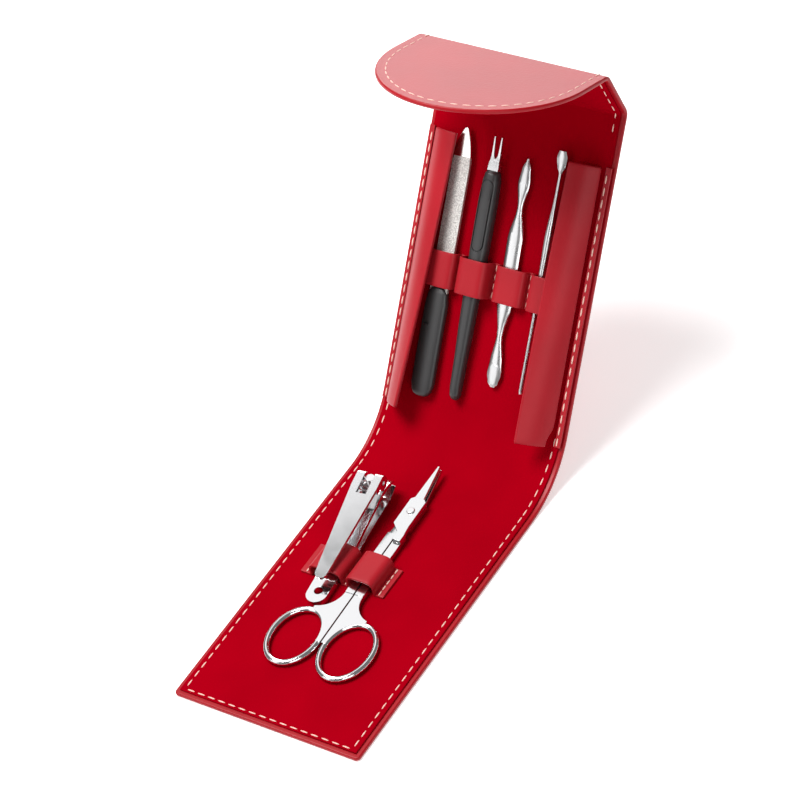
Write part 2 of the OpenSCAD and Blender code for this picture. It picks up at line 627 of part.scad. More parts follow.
module jaw_up_profile() polygon([[flex_y, tool_gap + jaw_thickness + tail_rise], [bend_up, tool_gap + jaw_thickness + bend_rise],
  [post_y - 2.5, jaw_height - jaw_thickness], [lip_y, jaw_height - jaw_thickness],
  [clipper_length - 0.6, jaw_height - jaw_thickness - 1], [clipper_length + 0.3, jaw_height - jaw_thickness - 1],
  [lip_y + 0.6, jaw_height], [post_y - 2.5, jaw_height], [bend_up, tool_gap + 2 * jaw_thickness + bend_rise],
  [flex_y, tool_gap + 2 * jaw_thickness + tail_rise]]);

flex_z = tool_gap + 1.5 * jaw_thickness;

module clipper_lower_jaw() color("silver") on_clipper() difference() {
  union() {
    intersection() {
      across(2 * clipper_width) jaw_low_profile();
      linear_extrude(30) jaw_plan(-1);
    }
    intersection() {
      linear_extrude(tool_gap + 2 * jaw_thickness) jaw_plan(-1);
      translate([-20, -1, tool_gap + jaw_thickness - eps]) cube([40, flex_y + 1, 10]);
    }
  }
  translate([0, clipper_tail_width / 2 + 1.2, -1]) cylinder(d = tail_hole, h = 10);
  translate([0, post_y, -1]) cylinder(d = post_diameter + 2 * pin_play, h = 10);
  translate([0, flex_y, flex_z]) rod_x(jaw_thickness / 2 + pin_play, 20);
  translate([-10, flex_y, flex_z - 10 + 10]) cube([20, 5, 10]);
}

module clipper_upper_jaw() color("silver") on_clipper() difference() {
  intersection() {
    union() {
      across(2 * clipper_width) jaw_up_profile();
      translate([0, flex_y, flex_z]) rod_x(jaw_thickness / 2, 2 * clipper_width);
    }
    linear_extrude(30) jaw_plan(flex_y - 2);
  }
  translate([0, post_y, 0]) slot_prism(post_diameter + 2 * pass_gap, -post_diameter / 2 - 0.8, post_diameter / 2 + 0.8, 20);
}

module clipper_post() color("gray") on_clipper() translate([0, post_y, 0]) difference() {
  union() {
    translate([0, 0, tool_gap]) cylinder(d = post_diameter * 1.8, h = 0.8);
    translate([0, 0, tool_gap]) cylinder(d = post_diameter, h = pin_height + 1.5 - tool_gap);
  }
  translate([0, 0, pin_height]) rod_x(pin_diameter / 2, 10);
}

module clipper_pin() color("silver") on_clipper() translate([0, post_y, pin_height])
  rod_x(pin_diameter / 2, clipper_width - 0.6);

lever_under = 1.3;
lever_round = pin_height - jaw_height - 0.15;

module clipper_lever() color("gainsboro") on_clipper() translate([0, post_y, pin_height]) rotate([lever_slope, 0, 0]) difference() {
  union() {
    intersection() {
      translate([0, 0, lever_under]) linear_extrude(lever_thickness) union() {
        polygon([[-clipper_width / 2, 4], [clipper_width / 2, 4], [clipper_width / 2, -4],
          [lever_tail_width / 2, (lever_tail_width - 2 * lever_length) / 2],
          [-lever_tail_width / 2, (lever_tail_width - 2 * lever_length) / 2], [-clipper_width / 2, -4]]);
        translate([0, lever_tail_width / 2 - lever_length]) circle(d = lever_tail_width);
      }
      union() {
        translate([-20, -100, -5]) cube([40, 100, 20]);
        rod_x(lever_round, 20);
      }
    }
    for (side = [-1, 1]) translate([side * (clipper_width / 2 - 0.6), 0, 0]) intersection() {
      union() {
        rod_x(lever_round, 1.2);
        translate([-0.6, -4.5, 0]) cube([1.2, 4.5, lever_under + eps]);
      }
      translate([-5, -5, -lever_round]) cube([10, 10, lever_round + lever_under + 0.5]);
    }
  }
  rod_x(pin_diameter / 2 + pin_play, 20);
  translate([-post_diameter / 2 - pass_gap, -6.5, -5]) cube([post_diameter + 2 * pass_gap, 20, 20]);
}

// The scissors

wire_r = ring_wire / 2;
ring_a = ring_width / 2 - wire_r;
ring_b = ring_length / 2 - wire_r;
ring_x = ring_width / 2 + 0.4;
// The oval wire of a finger ring
module finger_ring(steps = 44, sides = 12) {
  points = [for (i = [0:steps - 1]) let (t = 360 * i / steps, n = [ring_b * cos(t), ring_a * sin(t)] / norm([ring_b * cos(t), ring_a * sin(t)]))
    for (j = [0:sides - 1]) let (b = 360 * j / sides)
      [ring_a * cos(t) + wire_r * cos(b) * n[0], ring_b * sin(t) + wire_r * cos(b) * n[1], wire_r * sin(b)]];
  polyhedron(points, [for (i = [0:steps - 1]) for (j = [0:sides - 1]) each
    let (p = i * sides + j, q = i * sides + (j + 1) % sides, r = ((i + 1) % steps) * sides + j, t = ((i + 1) % steps) * sides + (j + 1) % sides)
    [[p, q, t], [p, t, r]]]);
}

// The inside of a ring, up to the middle of its wire
module oval_hole() polygon([for (i = [0:71]) (ring_a - wire_r * 0.4) * [cos(5 * i), 0] + (ring_b - wire_r * 0.4) * [0, sin(5 * i)]]);

shank_inner = 0.25;
shoulder_radius = 8.5;
shoulder_y = -ring_distance + ring_length / 2 + shoulder_radius;
shank_end = -9.6;

// Ring, shoulder and shank of the half on the +X side
module half_handle() {
  translate([ring_x, -ring_distance, tool_gap + wire_r]) finger_ring();
  translate([0, 0, tool_gap]) linear_extrude(ring_wire) difference() {
    translate([shank_inner, -ring_distance]) square([ring_x - shank_inner, shoulder_y + ring_distance]);
    translate([shank_inner + shank_width + shoulder_radius, shoulder_y]) circle(r = shoulder_radius);
    translate([ring_x, -ring_distance]) oval_hole();
  }
  translate([shank_inner, shoulder_y, tool_gap]) cube([shank_width, shank_end - shoulder_y, shank_height]);
}

module blade(side) polygon([[-side * blade_width * 0.42, 4.2], [side * blade_width * 0.58, 4.2], [side * 0.45, blade_length],
  [-side * 0.1, blade_length]]);

upper_z = tool_gap + blade_plate + 0.15;

// Plate of the half whose shank is on the +X side, with its step across to the other side
module half_plate() polygon([[shank_inner + shank_width, shank_end - 1], [plate_width / 2, -6.4], [plate_width / 2, 4.8],
  [plate_width / 2 - 1, 5.8], [1 - plate_width / 2, 5.8], [-plate_width / 2, 4.8], [-plate_width / 2, -6.2],
  [shank_inner, -9.2], [shank_inner, shank_end - 1]]);

module scissors_left_half() color("gainsboro") on_scissors() difference() {
  union() {
    mirror([1, 0, 0]) half_handle();
    translate([0, 0, tool_gap]) linear_extrude(blade_plate) mirror([1, 0]) half_plate();
    translate([0, 4.2, tool_gap + 0.4]) rotate([blade_slant, 0, 0]) translate([0, -4.2, 0])
      linear_extrude(blade_plate - 0.6) blade(1);
  }
  translate([0, 0, -1]) cylinder(d = screw_diameter, h = 10);
}

module scissors_right_half() color("gainsboro") on_scissors() difference() {
  union() {
    half_handle();
    translate([shank_inner, shank_end - 3, tool_gap]) cube([shank_width, 3, upper_z + blade_plate - tool_gap]);
    translate([0, 0, upper_z]) linear_extrude(blade_plate) half_plate();
    translate([0, 4.2, upper_z + 0.15]) rotate([blade_slant, 0, 0]) translate([0, -4.2, 0])
      linear_extrude(blade_plate - 0.6) blade(-1);
  }
  translate([0, 0, -1]) cylinder(d = screw_diameter + 2 * pin_play, h = 10);
}

module scissors_screw() color("gray") on_scissors() {
  translate([0, 0, tool_gap]) cylinder(d = screw_diameter, h = upper_z + blade_plate - tool_gap + 0.1);
  translate([0, 0, upper_z + blade_plate + 0.05]) cylinder(d1 = screw_diameter * 1.3, d2 = screw_diameter * 1.1, h = 0.4);
}

front_cover();
front_board();
front_lining();
loop_strap();
spine_strip_1();
spine_strip_2();
spine_strip_3();
back_cover();
back_board();
back_lining();
tool_strap();
left_guard_hem();
right_guard_hem();
left_guard();
right_guard();
top_spine();
flap_cover();
flap_board();
flap_lining();
file_blade();
file_handle();
trimmer_fork();
trimmer_handle();
cuticle_pusher();
ear_pick();
clipper_lower_jaw();
clipper_upper_jaw();
clipper_post();
clipper_pin();
clipper_lever();
scissors_left_half();
scissors_right_half();
scissors_screw();
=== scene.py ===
import json
from math import ceil, cos, pi, radians, sin, tan

import bmesh
import bpy
from mathutils import Matrix, Vector


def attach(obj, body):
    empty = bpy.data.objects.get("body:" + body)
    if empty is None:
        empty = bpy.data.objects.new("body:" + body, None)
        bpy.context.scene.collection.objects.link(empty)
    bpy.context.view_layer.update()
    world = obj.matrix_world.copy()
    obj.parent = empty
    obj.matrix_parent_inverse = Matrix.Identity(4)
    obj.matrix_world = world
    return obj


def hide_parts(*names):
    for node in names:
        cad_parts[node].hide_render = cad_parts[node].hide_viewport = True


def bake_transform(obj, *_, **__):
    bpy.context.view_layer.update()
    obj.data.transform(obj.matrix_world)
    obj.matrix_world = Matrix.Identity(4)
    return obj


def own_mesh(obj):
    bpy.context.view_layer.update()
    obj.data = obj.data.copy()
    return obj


bl_info = {
    "name": "Manicure Set Case",
    "version": (1, 0, 0),
    "blender": (4, 5, 0),
    "location": "View3D > Sidebar > Manicure Case",
    "description": "Builds an open manicure case with its straps, guards, stitching and tools",
    "category": "Add Mesh",
}

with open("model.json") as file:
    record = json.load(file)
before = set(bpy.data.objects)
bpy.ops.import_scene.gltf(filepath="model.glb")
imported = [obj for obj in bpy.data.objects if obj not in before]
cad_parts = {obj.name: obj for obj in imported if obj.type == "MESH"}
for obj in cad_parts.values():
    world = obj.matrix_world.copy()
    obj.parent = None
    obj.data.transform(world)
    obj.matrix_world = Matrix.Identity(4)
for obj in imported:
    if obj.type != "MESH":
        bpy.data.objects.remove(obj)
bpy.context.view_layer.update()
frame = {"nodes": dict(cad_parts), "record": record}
MM = 0.001

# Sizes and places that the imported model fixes, in millimetres and degrees
SLOPE = 50.5
SPINE_RADIUS = 35.2
FOLD_STEPS = (12.399, 15.104, 15.105, 7.892)
TOP_TURN = 56.0
FLAP_TURN = 52.5
BEND = 2.5
FRONT_CORNER = 1.5
FILE_TIP_START = 79.5

# Rounding of the free edges of the outer leather and of the lining
OUTER_RIM = 0.55
LINING_RIM = 0.3

# Bent leather runs FRONT_LAP and TOP_LAP into its panels, and the back panel's runs BACK_LAP into the bend
FRONT_LAP = 3
BACK_LAP = 0.5
TOP_LAP = 6

# Side guards: a lift and a reach for the low end and for the top. GUARD_TRIM is both ends' trim together
GUARD_AXIS = 31.2
GUARD_LOW = -5.0
GUARD_TOP = 87.0
GUARD_LIFTS = (48.0, 21.0)
GUARD_REACHES = (12.6, 10.8)
GUARD_CROWN = 1.1
GUARD_RISE = 1.0
GUARD_TRIM_LOW = 0.6
GUARD_TRIM = 0.8
GUARD_THICKNESS = 1.3
HEM_SEAM = 33.0
HEM_SEAM_LOW = -2.5
HEM_SEAM_TOP = 86.0
HEM_HEIGHT = 0.75

# Tool straps: each arch is (left foot, right foot, height), squarer where STRAP_BOXY is higher
STRAP_THICKNESS = 0.8
STRAP_BOXY = 5
BACK_STRAP_LOW = 36.6
BACK_STRAP_DEPTH = 11.8
BACK_STRAP_HALF = 28.5
BACK_ARCHES = [(-24.8, -14.65, 3.9), (-11.6, -1.7, 5.5), (1.5, 11.4, 3.0), (14.6, 21.5, 3.3)]
BACK_ROWS = (-26.8, -13.1, -0.1, 13.0, 24.5)
FRONT_STRAP_LOW = 57.5
FRONT_STRAP_DEPTH = 12.2
FRONT_STRAP_ENDS = (-23.8, -6.55, 7.9)
CLIPPER_ARCH = (-19.3, -8.1, 4.7)
SCISSORS_ARCH = (-5.0, 4.3, 4.85)
FRONT_ROWS = (-21.5, -6.55, 6.2)

# Pitch and stitch length of the rows on a strap, as shares of a seam's
ROW_PITCH = 0.62
ROW_LENGTH = 0.72

# Camera of the photograph: turn, height and roll in degrees, lengths in millimetres
CAMERA_TURN = 43.838
CAMERA_HEIGHT = 43.157
CAMERA_ROLL = -16.66
CAMERA_TARGET = (19.10, 27.06, 75.01)
CAMERA_DISTANCE = 1025.84
SENSOR_WIDTH = 36.0
FOCAL_LENGTH_PIXELS = 3408.5
PICTURE_PIXELS = 800.0

# Floor in metres, and how strongly the floor and the surroundings shine by themselves
FLOOR_SIZE = 12.0
FLOOR_GLOW = 0.42
WORLD_LIGHT = 0.20

# Lights: name, place, target and size in metres, and power in watts
LIGHTS = (
    ("Key", (-0.30, -0.06, 0.88), (0, 0.03, 0.03), 0.45, 10.6),
    ("Fill", (0.6, -0.5, 0.5), (0, 0.05, 0.03), 0.5, 2.0),
    ("Back", (-0.62, 0.72, 0.88), (0, 0.02, 0.02), 0.75, 1.9),
    ("Front", (-0.62, -0.85, 0.55), (0, 0.1, 0.05), 0.7, 2.0),
    ("Horizon", (-0.62, 1.15, 0.32), (0, 0.12, 0.12), 0.55, 4.2),
)


# Settings

class CaseSizes(bpy.types.PropertyGroup):
    width: bpy.props.FloatProperty(name="Width", description="Width of the case",
                                   default=0.070, unit="LENGTH")
    front: bpy.props.FloatProperty(name="Front Panel", description="Length of the panel that lies flat",
                                   default=0.104, unit="LENGTH")
    back: bpy.props.FloatProperty(name="Back Panel", description="Length of the panel that leans back",
                                  default=0.1048, unit="LENGTH")
    top: bpy.props.FloatProperty(name="Top Spine", description="Length from the back panel to the flap",
                                 default=0.0193, unit="LENGTH")
    flap_side: bpy.props.FloatProperty(name="Flap Sides", description="Length of the flap's straight sides",
                                       default=0.0145, unit="LENGTH")
    thickness: bpy.props.FloatProperty(name="Thickness", description="Thickness of a finished panel",
                                       default=0.0022, unit="LENGTH")
    lining: bpy.props.FloatProperty(name="Lining", description="Thickness of the lining layer",
                                    default=0.0007, unit="LENGTH")
    edge_step: bpy.props.FloatProperty(name="Edge Step", description="Step from the leather in to the lining",
                                       default=0.0016, unit="LENGTH")


class StitchSizes(bpy.types.PropertyGroup):
    pitch: bpy.props.FloatProperty(name="Pitch", description="Distance from one stitch to the next",
                                   default=0.0039, unit="LENGTH")
    length: bpy.props.FloatProperty(name="Length", description="Visible length of a stitch",
                                    default=0.0030, unit="LENGTH")
    thread: bpy.props.FloatProperty(name="Thread", description="Thickness of the sewing thread",
                                    default=0.00042, unit="LENGTH")
    side_inset: bpy.props.FloatProperty(name="Side Inset", description="Distance from a side to the seam",
                                        default=0.0033, unit="LENGTH")
    end_inset: bpy.props.FloatProperty(name="End Inset", description="Distance from front edge to seam",
                                       default=0.0024, unit="LENGTH")


def colour_property(name, description, value):
    return bpy.props.FloatVectorProperty(name=name, description=description, default=value, size=3,
                                         min=0.0, max=1.0, subtype="COLOR")


class CaseColours(bpy.types.PropertyGroup):
    leather: colour_property("Outer Leather", "Colour of the outer leather", (0.34, 0.002, 0.008))
    lining: colour_property("Lining", "Colour of the smooth lining", (0.31, 0.0, 0.006))
    strap: colour_property("Straps", "Colour of the straps and guards", (0.36, 0.010, 0.018))
    thread: colour_property("Thread", "Colour of the sewing thread", (0.80, 0.52, 0.44))
    steel: colour_property("Steel", "Colour of the polished steel", (0.72, 0.72, 0.73))
    plastic: colour_property("Plastic", "Colour of the tool handles", (0.030, 0.030, 0.031))
    board: colour_property("Board", "Colour of the stiffening boards", (0.42, 0.34, 0.25))
    floor: colour_property("Floor", "Colour of the floor", (0.90, 0.90, 0.90))


def sizes():
    return bpy.context.scene.manicure_sizes


def stitching():
    return bpy.context.scene.manicure_stitches


def colours():
    return bpy.context.scene.manicure_colours


# Materials

def noise(nodes, links, place, scale, detail=2.0):
    """A noise texture on the piece's own coordinates."""
    texture = nodes.new("ShaderNodeTexNoise")
    texture.inputs["Scale"].default_value = scale
    texture.inputs["Detail"].default_value = detail
    links.new(place.outputs["Object"], texture.inputs["Vector"])
    return texture.outputs["Fac"]


def calculate(nodes, links, operation, *values):
    """The result of a Math node. Each value is a number or another node's output."""
    node = nodes.new("ShaderNodeMath")
    node.operation = operation
    for k, value in enumerate(values):
        if isinstance(value, float):
            node.inputs[k].default_value = value
        else:
            links.new(value, node.inputs[k])
    return node.outputs[0]


def mix_colours(nodes, links, factor, low, high):
    """The colour between two colours that a factor picks."""
    mix = nodes.new("ShaderNodeMix")
    mix.data_type = "RGBA"
    mix.inputs["A"].default_value = (*low, 1.0)
    mix.inputs["B"].default_value = (*high, 1.0)
    links.new(factor, mix.inputs["Factor"])
    return mix.outputs["Result"]


def add_bump(nodes, links, shader, height, strength, distance):
    """Raises the shader's surface by a height, over a distance in metres."""
    bump = nodes.new("ShaderNodeBump")
    bump.inputs["Strength"].default_value = strength
    bump.inputs["Distance"].default_value = distance
    links.new(height, bump.inputs["Height"])
    links.new(bump.outputs["Normal"], shader.inputs["Normal"])


def new_group(name, input_name, input_value, output_names):
    """A node group with one number in and several out. Returns it with its input and output nodes."""
    group = bpy.data.node_groups.new(name, "ShaderNodeTree")
    socket = group.interface.new_socket(input_name, in_out="INPUT", socket_type="NodeSocketFloat")
    socket.default_value = input_value
    for output_name in output_names:
        group.interface.new_socket(output_name, in_out="OUTPUT", socket_type="NodeSocketFloat")
    return group, group.nodes.new("NodeGroupInput"), group.nodes.new("NodeGroupOutput")


def grain_group():
    """Pebbled leather: a height for a bump and a slow change of tone."""
    name = "Leather Grain"
    if name in bpy.data.node_groups:
        return bpy.data.node_groups[name]
    group, inputs, outputs = new_group(name, "Grain Scale", 1400.0, ("Height", "Tone"))
    nodes, links = group.nodes, group.links
    place = nodes.new("ShaderNodeTexCoord")
    pebbles = nodes.new("ShaderNodeTexVoronoi")
    pebbles.feature = "SMOOTH_F1"
    links.new(place.outputs["Object"], pebbles.inputs["Vector"])
    links.new(inputs.outputs["Grain Scale"], pebbles.inputs["Scale"])
    creases = noise(nodes, links, place, 420.0, 4.0)
    height = calculate(nodes, links, "ADD", pebbles.outputs["Distance"], creases)
    links.new(height, outputs.inputs["Height"])
    links.new(noise(nodes, links, place, 45.0), outputs.inputs["Tone"])
    return group


def wear_group():
    """Fine brushing and faint smudges on metal: a roughness change and a height."""
    name = "Metal Wear"
    if name in bpy.data.node_groups:
        return bpy.data.node_groups[name]
    group, inputs, outputs = new_group(name, "Roughness", 0.15, ("Roughness", "Height"))
    nodes, links = group.nodes, group.links
    place = nodes.new("ShaderNodeTexCoord")
    smudges = noise(nodes, links, place, 160.0, 3.0)
    spread = calculate(nodes, links, "MULTIPLY_ADD", smudges, 0.12, inputs.outputs["Roughness"])
    links.new(spread, outputs.inputs["Roughness"])
    links.new(noise(nodes, links, place, 2500.0), outputs.inputs["Height"])
    return group


def surface(name, colour, roughness, metallic=0.0, coat=0.0, coat_roughness=0.2, specular=0.5):
    """A material with one Principled shader. Returns it with its nodes, links and shader."""
    made = bpy.data.materials.new(name)
    made.use_nodes = True
    nodes, links = made.node_tree.nodes, made.node_tree.links
    shader = next(n for n in nodes if n.type == "BSDF_PRINCIPLED")
    shader.inputs["Base Color"].default_value = (*colour, 1.0)
    shader.inputs["Roughness"].default_value = roughness
    shader.inputs["Metallic"].default_value = metallic
    shader.inputs["Coat Weight"].default_value = coat
    shader.inputs["Coat Roughness"].default_value = coat_roughness
    shader.inputs["Specular IOR Level"].default_value = specular
    return made, nodes, links, shader


def leather_material(name, colour, roughness, grain, strength, specular):
    """Artificial leather with a pebbled surface."""
    made, nodes, links, shader = surface(name, colour, roughness, specular=specular)
    group = nodes.new("ShaderNodeGroup")
    group.node_tree = grain_group()
    group.inputs["Grain Scale"].default_value = grain
    add_bump(nodes, links, shader, group.outputs["Height"], strength, 0.0002)
    dark = [c * 0.82 for c in colour]
    light = [min(1.0, c * 1.12) for c in colour]
    tone = mix_colours(nodes, links, group.outputs["Tone"], dark, light)
    links.new(tone, shader.inputs["Base Color"])
    return made


def metal_material(name, colour, roughness):
    """Steel with faint smudges."""
    made, nodes, links, shader = surface(name, colour, roughness, metallic=1.0)
    group = nodes.new("ShaderNodeGroup")
    group.node_tree = wear_group()
    group.inputs["Roughness"].default_value = roughness
    links.new(group.outputs["Roughness"], shader.inputs["Roughness"])
    add_bump(nodes, links, shader, group.outputs["Height"], 0.02, 0.00005)
    return made


def thread_material():
    """Twisted sewing thread."""
    made, nodes, links, shader = surface("Sewing Thread", colours().thread, 0.75)
    place = nodes.new("ShaderNodeTexCoord")
    twist = nodes.new("ShaderNodeTexWave")
    twist.inputs["Scale"].default_value = 700.0
    twist.bands_direction = "DIAGONAL"
    links.new(place.outputs["Object"], twist.inputs["Vector"])
    add_bump(nodes, links, shader, twist.outputs["Fac"], 0.4, 0.0001)
    return made


def file_material():
    """File blade: gritty, with a smooth bright tip."""
    made, nodes, links, shader = surface("File Steel", (0.74, 0.73, 0.70), 0.35, metallic=1.0)
    place = nodes.new("ShaderNodeTexCoord")
    up_y, up_z = cos(radians(SLOPE)), sin(radians(SLOPE))
    height = nodes.new("ShaderNodeVectorMath")
    height.operation = "DOT_PRODUCT"
    height.inputs[1].default_value = (0.0, up_y, up_z)
    links.new(place.outputs["Object"], height.inputs[0])
    tip = on_back(0, FILE_TIP_START, 0)
    gritty = calculate(nodes, links, "LESS_THAN", height.outputs["Value"], tip.y * up_y + tip.z * up_z)
    grit = noise(nodes, links, place, 2600.0)
    speckle = nodes.new("ShaderNodeMapRange")
    speckle.inputs["From Min"].default_value = 0.40
    speckle.inputs["From Max"].default_value = 0.62
    links.new(grit, speckle.inputs["Value"])
    smooth_tip = calculate(nodes, links, "SUBTRACT", 1.0, gritty)
    bright = calculate(nodes, links, "MAXIMUM", speckle.outputs["Result"], smooth_tip)
    tone = mix_colours(nodes, links, bright, (0.50, 0.49, 0.47), (0.82, 0.81, 0.78))
    links.new(tone, shader.inputs["Base Color"])
    rough = calculate(nodes, links, "MULTIPLY_ADD", gritty, 0.45, 0.15)
    links.new(rough, shader.inputs["Roughness"])
    add_bump(nodes, links, shader, calculate(nodes, links, "MULTIPLY", grit, gritty), 0.6, 0.0003)
    return made


def board_material():
    """Grey-brown card."""
    made, nodes, links, shader = surface("Board", colours().board, 0.85, specular=0.2)
    place = nodes.new("ShaderNodeTexCoord")
    add_bump(nodes, links, shader, noise(nodes, links, place, 900.0), 0.2, 0.0001)
    return made


def plastic_material():
    """Dark satin plastic."""
    made, nodes, links, shader = surface("Handle Plastic", colours().plastic, 0.36,
                                         coat=0.1, coat_roughness=0.35)
    place = nodes.new("ShaderNodeTexCoord")
    add_bump(nodes, links, shader, noise(nodes, links, place, 3500.0), 0.06, 0.0001)
    return made


def material(name):
    """The case's materials by name, each made once."""
    if name in bpy.data.materials:
        return bpy.data.materials[name]
    c = colours()
    makers = {
        "Outer Leather": lambda: leather_material(name, c.leather, 0.38, 1500.0, 0.12, 0.26),
        "Lining": lambda: leather_material(name, c.lining, 0.45, 2600.0, 0.04, 0.0),
        "Strap Leather": lambda: leather_material(name, c.strap, 0.38, 2200.0, 0.08, 0.20),
        "Sewing Thread": thread_material,
        "Polished Steel": lambda: metal_material(name, c.steel, 0.06),
        "Satin Steel": lambda: metal_material(name, c.steel, 0.22),
        "File Steel": file_material,
        "Handle Plastic": plastic_material,
        "Board": board_material,
    }
    return makers[name]()


# The run of leather from the front edge to the flap

def runs():
    """Straight and bent stretches of the leather, as (length, turn in degrees), in millimetres."""
    s = sizes()
    front, back, top = s.front / MM, s.back / MM, s.top / MM
    top_cut = BEND * tan(radians(TOP_TURN / 2))
    flap_cut = BEND * tan(radians(FLAP_TURN / 2))
    return [
        (front, 0.0),
        (SPINE_RADIUS * radians(SLOPE), SLOPE),
        (back - top_cut, 0.0),
        (BEND * radians(TOP_TURN), TOP_TURN),
        (top - top_cut - flap_cut, 0.0),
        (BEND * radians(FLAP_TURN), FLAP_TURN),
        (200.0, 0.0),
    ]


def lay(x, s, z):
    """A point of the flat leather, at x across, s along and z above its middle, where it lies at rest."""
    half = sizes().thickness / MM / 2
    y, height, angle = -sizes().front / MM / 2, half, 0.0
    for length, turn in runs():
        step = min(s, length)
        if turn:
            radius = length / radians(turn)
            bend = step / radius
            y += radius * (sin(radians(angle) + bend) - sin(radians(angle)))
            height += radius * (cos(radians(angle)) - cos(radians(angle) + bend))
            angle += turn * step / length
        else:
            y += step * cos(radians(angle))
            height += step * sin(radians(angle))
        s -= step
        if s <= 1e-9:
            break
    return Vector((x, y - z * sin(radians(angle)), height + z * cos(radians(angle)))) * MM


def marks():
    """Places along the leather in millimetres: the folds, and where each stretch starts and ends."""
    r = runs()
    folds = [r[0][0]]
    for step in FOLD_STEPS:
        folds.append(folds[-1] + SPINE_RADIUS * radians(step))
    back_end = r[0][0] + r[1][0] + r[2][0]
    top_start = back_end + r[3][0]
    top_end = top_start + r[4][0]
    return {"folds": folds, "back_start": folds[4], "back_end": back_end, "top_start": top_start,
            "top_end": top_end, "flap_start": top_end + r[5][0]}


def flap_round_start():
    """Where the flap's straight sides end and its round begins."""
    return marks()["flap_start"] - BEND * tan(radians(FLAP_TURN / 2)) + sizes().flap_side / MM


def finish_mesh(name, bm, material_name):
    """Makes an object of a bmesh whose points are already in place."""
    bmesh.ops.recalc_face_normals(bm, faces=bm.faces)
    name = name.replace(" ", "_").lower()
    mesh = bpy.data.meshes.new(name)
    bm.to_mesh(mesh)
    bm.free()
    for polygon in mesh.polygons:
        polygon.use_smooth = True
    obj = bpy.data.objects.new(name, mesh)
    bpy.context.scene.collection.objects.link(obj)
    mesh.materials.append(material(material_name))
    return obj


def round_edges(bm, edges, offset, segments):
    bmesh.ops.bevel(bm, geom=edges, offset=offset, offset_type="OFFSET", segments=segments, profile=0.5,
                    affect="EDGES", clamp_overlap=True, material=-1)


def slab(name, material_name, width, s0, s1, z0, z1, rim, corner, cut, round_start, round_end):
    """A layer of the leather between s0 and s1, with rounded edges at its sides and at each free end."""
    bm = bmesh.new()
    bmesh.ops.create_cube(bm, size=1.0)
    bmesh.ops.scale(bm, vec=(width, s1 - s0, z1 - z0), verts=bm.verts)
    bmesh.ops.translate(bm, vec=(0, (s0 + s1) / 2, (z0 + z1) / 2), verts=bm.verts)

    def at_end(item, place):
        return all(abs(v.co.y - place) < 1e-4 for v in item.verts)

    if corner:
        end = s1 if round_end else s0
        upright = [e for e in bm.edges if at_end(e, end) and abs(e.verts[0].co.z - e.verts[1].co.z) > 1e-4]
        round_edges(bm, upright, corner, 28 if round_end else 7)
    free = []
    for edge in bm.edges:
        flat = abs(edge.verts[0].co.z - edge.verts[1].co.z) < 1e-5
        joined = (at_end(edge, s0) and not round_start) or (at_end(edge, s1) and not round_end)
        if flat and not joined:
            free.append(edge)
    if rim:
        round_edges(bm, free, rim, 3)
    if cut:
        count = ceil((s1 - s0) / cut)
        for k in range(1, count):
            bmesh.ops.bisect_plane(bm, geom=bm.verts[:] + bm.edges[:] + bm.faces[:], dist=1e-5,
                                   plane_co=(0, s0 + (s1 - s0) * k / count, 0), plane_no=(0, 1, 0))
    for face in bm.faces:
        at_start = not round_start and at_end(face, s0)
        if at_start or (not round_end and at_end(face, s1)):
            for edge in face.edges:
                edge.smooth = False
    for vert in bm.verts:
        vert.co = lay(*vert.co)
    return finish_mesh(name, bm, material_name)


def layers(name, s0, s1, cut=0, round_start=False, round_end=False, corner=0.0):
    """Outer leather and lining over one stretch. A cut length divides it so that it can bend."""
    s = sizes()
    width, half, step = s.width / MM, s.thickness / MM / 2, s.edge_step / MM
    middle = half - s.lining / MM
    start = step if round_start else 0.0
    end = step if round_end else 0.0
    outer = slab(name + " leather", "Outer Leather", width, s0, s1, -half, middle, OUTER_RIM,
                 corner, cut, round_start, round_end)
    inner = slab(name + " lining", "Lining", width - 2 * step, s0 + start, s1 - end, middle - 0.02, half,
                 LINING_RIM, max(corner - step, 0.0), cut, round_start, round_end)
    return outer, inner


def add_weighted_normals(obj):
    modifier = obj.modifiers.new("Weighted Normals", "WEIGHTED_NORMAL")
    modifier.keep_sharp = True


# Stitches

def stitch_mesh(name, places):
    """Stitches as small rounded beads of thread. Each place is (middle, direction of the seam, normal)."""
    s = stitching()
    bm = bmesh.new()
    for middle, along, normal in places:
        side = along.cross(normal).normalized()
        turn = Matrix((side, along.normalized(), normal.normalized())).transposed().to_4x4()
        made = bmesh.ops.create_uvsphere(bm, u_segments=8, v_segments=6, radius=0.5)
        bmesh.ops.scale(bm, vec=(s.thread * 1.25, s.length, s.thread), verts=made["verts"])
        bmesh.ops.transform(bm, matrix=Matrix.Translation(middle) @ turn, verts=made["verts"])
    return finish_mesh(name, bm, "Sewing Thread")


def seam_places(points, outside=False):
    """Stitches along a seam on the lining or the outside, given as points (x, s) of the flat leather."""
    pitch = stitching().pitch / MM
    half = (sizes().thickness / MM / 2 - 0.05) * (-1 if outside else 1)
    lengths = [(Vector(b) - Vector(a)).length for a, b in zip(points, points[1:])]
    total = sum(lengths)
    count = max(1, round(total / pitch))
    places = []
    for k in range(count):
        left = total * (k + 0.5) / count
        for (a, b), length in zip(zip(points, points[1:]), lengths):
            if left <= length:
                break
            left -= length
        a, b = Vector(a), Vector(b)
        d = (b - a).normalized()
        p = a + d * left
        middle = lay(p.x, p.y, half)
        along = lay(p.x + d.x * 0.2, p.y + d.y * 0.2, half) - lay(p.x - d.x * 0.2, p.y - d.y * 0.2, half)
        normal = lay(p.x, p.y, 2 * half) - lay(p.x, p.y, half)
        places.append((middle, along.normalized(), normal.normalized()))
    return places


# The case

